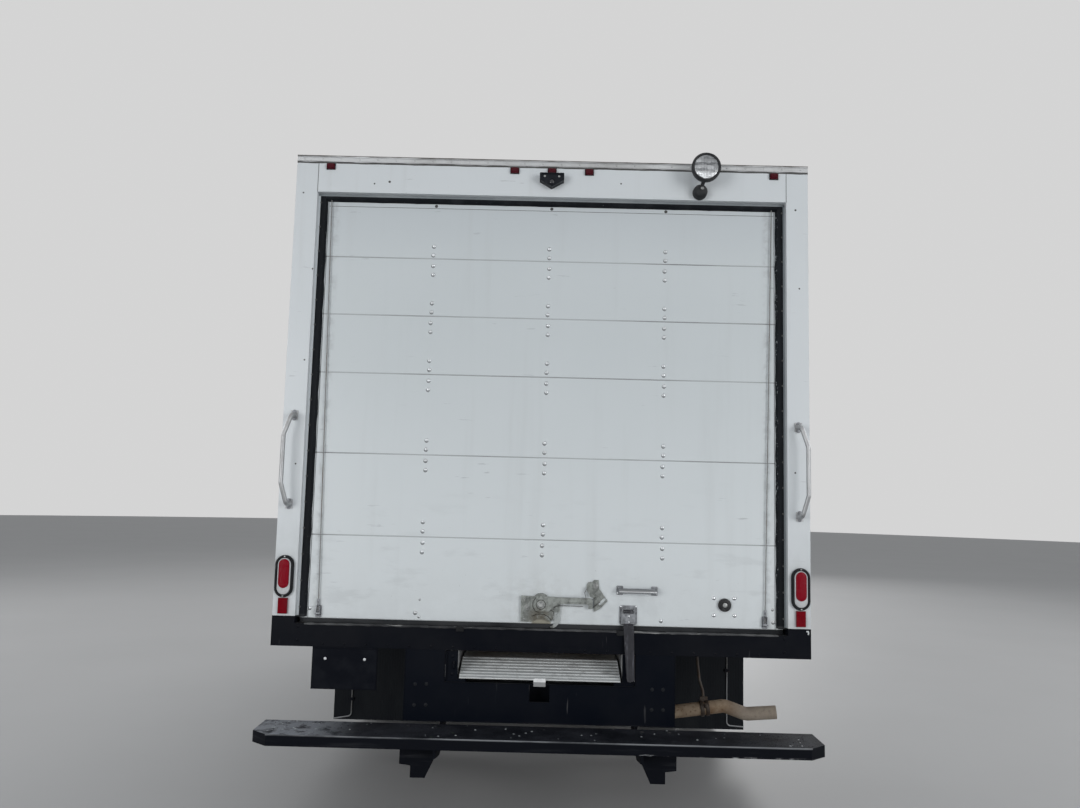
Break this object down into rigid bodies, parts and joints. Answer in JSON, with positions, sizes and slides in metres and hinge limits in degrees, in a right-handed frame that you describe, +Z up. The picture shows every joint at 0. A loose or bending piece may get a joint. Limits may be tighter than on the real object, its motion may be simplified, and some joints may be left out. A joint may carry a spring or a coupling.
{
  "type": "box truck",
  "caption": "Box truck with a white freight body, roll-up rear door, slide-out loading ramp, rear step and a cutaway van cab.",
  "frame": {"origin": "on the ground below the middle of the overall length and width", "axes": "+Y forwards, +X to the kerb side, +Z up"},
  "size_m": [2.6, 6.7818, 3.1289],
  "materials": {
    "white_paint": "gloss white, lightly scuffed",
    "white_panel": "white composite panel",
    "black_paint": "satin black, dusty and scuffed",
    "aluminium": "mill finish, weathered",
    "zinc_steel": "zinc plated, dull",
    "chrome": "bright",
    "rusty_steel": "rusted",
    "cast_iron": "dark casting",
    "tyre": "black rubber",
    "wheel_paint": "light grey paint",
    "rubber": "matt black rubber",
    "red_lens": "red lens",
    "clear_lens": "clear lens",
    "glass": "clear glass",
    "black_plastic": "grained black plastic",
    "grey_plastic": "grained grey plastic",
    "floor_wood": "laminated hardwood floor",
    "webbing": "black webbing",
    "seat_fabric": "grey woven cloth"
  },
  "bodies": {
    "chassis": {"chassis_frame": "black_paint", "engine": "cast_iron", "fuel_tank": "black_plastic", "rear_axle": "cast_iron", "rear_springs": "cast_iron", "propeller_shaft": "cast_iron", "exhaust": "rusty_steel", "front_axle": "cast_iron", "cab_shell": "white_paint", "windscreen": "glass", "cab_floor": "grey_plastic", "front_fenders": "white_paint", "grille": "black_plastic", "headlamps": "clear_lens", "front_bumper": "chrome", "seats": "seat_fabric", "dashboard": "grey_plastic", "steering_wheel": "black_plastic", "box_floor": "floor_wood", "cross_sills": "black_paint", "floor_rails": "aluminium", "side_walls": "white_panel", "front_wall": "white_panel", "box_roof": "aluminium", "rear_frame": "white_paint", "rear_sill": "black_paint", "roll_door": "white_panel", "door_seals": "rubber", "door_latch": "zinc_steel", "door_fittings": "zinc_steel", "lift_cables": "zinc_steel", "pull_strap": "webbing", "tail_lamps": "red_lens", "marker_lamps": "red_lens", "rear_camera": "black_plastic", "spot_lamp": "black_plastic", "grab_handles": "zinc_steel", "licence_plate": "black_paint", "ramp_housing": "black_paint", "step_bumper": "black_paint", "mudflaps": "rubber"},
    "hood": {"hood": "white_paint"},
    "ramp": {"ramp": "aluminium"},
    "knuckle_left": {"knuckle_left": "cast_iron"},
    "front_left_wheel": {"front_tyre_left": "tyre", "front_wheel_left": "wheel_paint"},
    "rear_left_wheels": {"rear_tyres_left": "tyre", "rear_wheels_left": "wheel_paint"},
    "cab_left_door": {"cab_door_left": "white_paint", "door_glass_left": "glass", "mirror_left": "black_plastic"},
    "knuckle_right": {"knuckle_right": "cast_iron"},
    "front_right_wheel": {"front_tyre_right": "tyre", "front_wheel_right": "wheel_paint"},
    "rear_right_wheels": {"rear_tyres_right": "tyre", "rear_wheels_right": "wheel_paint"},
    "cab_right_door": {"cab_door_right": "white_paint", "door_glass_right": "glass", "mirror_right": "black_plastic"}
  },
  "joints": [
    {"name": "steer_left", "type": "hinge", "parent": "chassis", "child": "knuckle_left", "pos_m": [-0.8, 2.631, 0.385], "axis": [0, 0, 1], "range_deg": [-35, 35]},
    {"name": "front_left_spin", "type": "hinge", "parent": "knuckle_left", "child": "front_left_wheel", "pos_m": [-0.88, 2.631, 0.385], "axis": [1, 0, 0], "continuous": true},
    {"name": "rear_left_spin", "type": "hinge", "parent": "chassis", "child": "rear_left_wheels", "pos_m": [-0.961, -0.9, 0.385], "axis": [1, 0, 0], "continuous": true},
    {"name": "cab_left_door_hinge", "type": "hinge", "parent": "chassis", "child": "cab_left_door", "pos_m": [-0.983, 2.248, 1.03], "axis": [0, 0, -1], "range_deg": [0, 65]},
    {"name": "steer_right", "type": "hinge", "parent": "chassis", "child": "knuckle_right", "pos_m": [0.8, 2.631, 0.385], "axis": [0, 0, 1], "range_deg": [-35, 35]},
    {"name": "front_right_spin", "type": "hinge", "parent": "knuckle_right", "child": "front_right_wheel", "pos_m": [0.88, 2.631, 0.385], "axis": [1, 0, 0], "continuous": true},
    {"name": "rear_right_spin", "type": "hinge", "parent": "chassis", "child": "rear_right_wheels", "pos_m": [0.961, -0.9, 0.385], "axis": [1, 0, 0], "continuous": true},
    {"name": "cab_right_door_hinge", "type": "hinge", "parent": "chassis", "child": "cab_right_door", "pos_m": [0.983, 2.248, 1.03], "axis": [0, 0, 1], "range_deg": [0, 65]},
    {"name": "hood_hinge", "type": "hinge", "parent": "chassis", "child": "hood", "pos_m": [0, 2.457, 1.41012], "axis": [1, 0, 0], "range_deg": [0, 55]},
    {"name": "ramp_slide", "type": "slide", "parent": "chassis", "child": "ramp", "axis": [0, -1, 0], "range_m": [0, 2.4]}
  ],
  "couplings": [
    {"joint": "steer_right", "follows": "steer_left", "ratio": 1}
  ]
}
